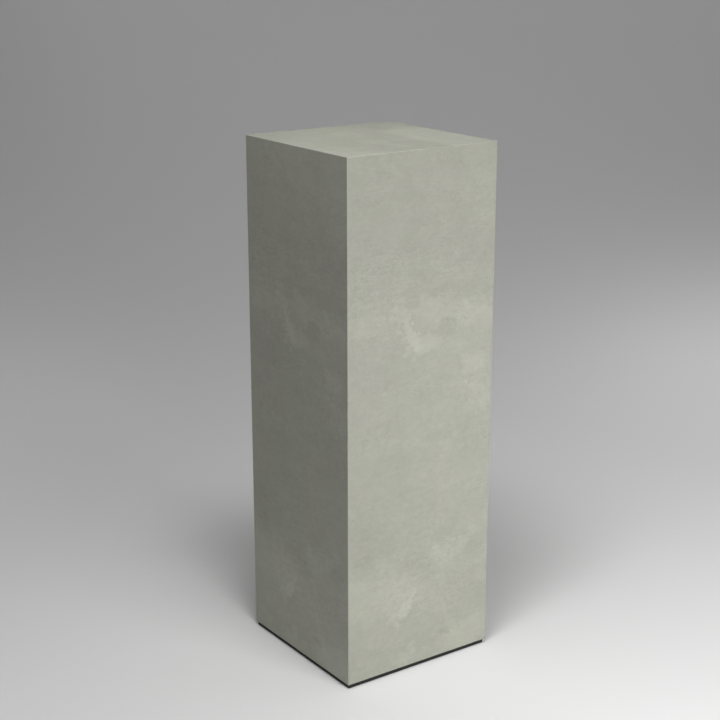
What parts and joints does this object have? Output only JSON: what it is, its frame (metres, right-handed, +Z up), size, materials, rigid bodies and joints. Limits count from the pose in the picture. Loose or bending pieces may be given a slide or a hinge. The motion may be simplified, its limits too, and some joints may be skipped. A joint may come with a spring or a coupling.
{
  "type": "square display plinth",
  "caption": "Tall square plinth with a flat top and sharp edges in a smooth concrete finish, hollow and open below, on a thin dark recessed foot.",
  "frame": {"origin": "on the floor, under the middle of the square block", "axes": "+Z up along the block, +X and +Y square to its faces, -Y towards the wide lit face in the picture"},
  "size_m": [0.3, 0.3, 0.9075],
  "materials": {
    "concrete": "smooth trowelled concrete skin, matt, pale greenish grey with faint lighter and darker clouds",
    "foot": "dull black strip"
  },
  "bodies": {
    "root": {"concrete_block": "concrete", "foot_frame": "foot"}
  },
  "joints": []
}
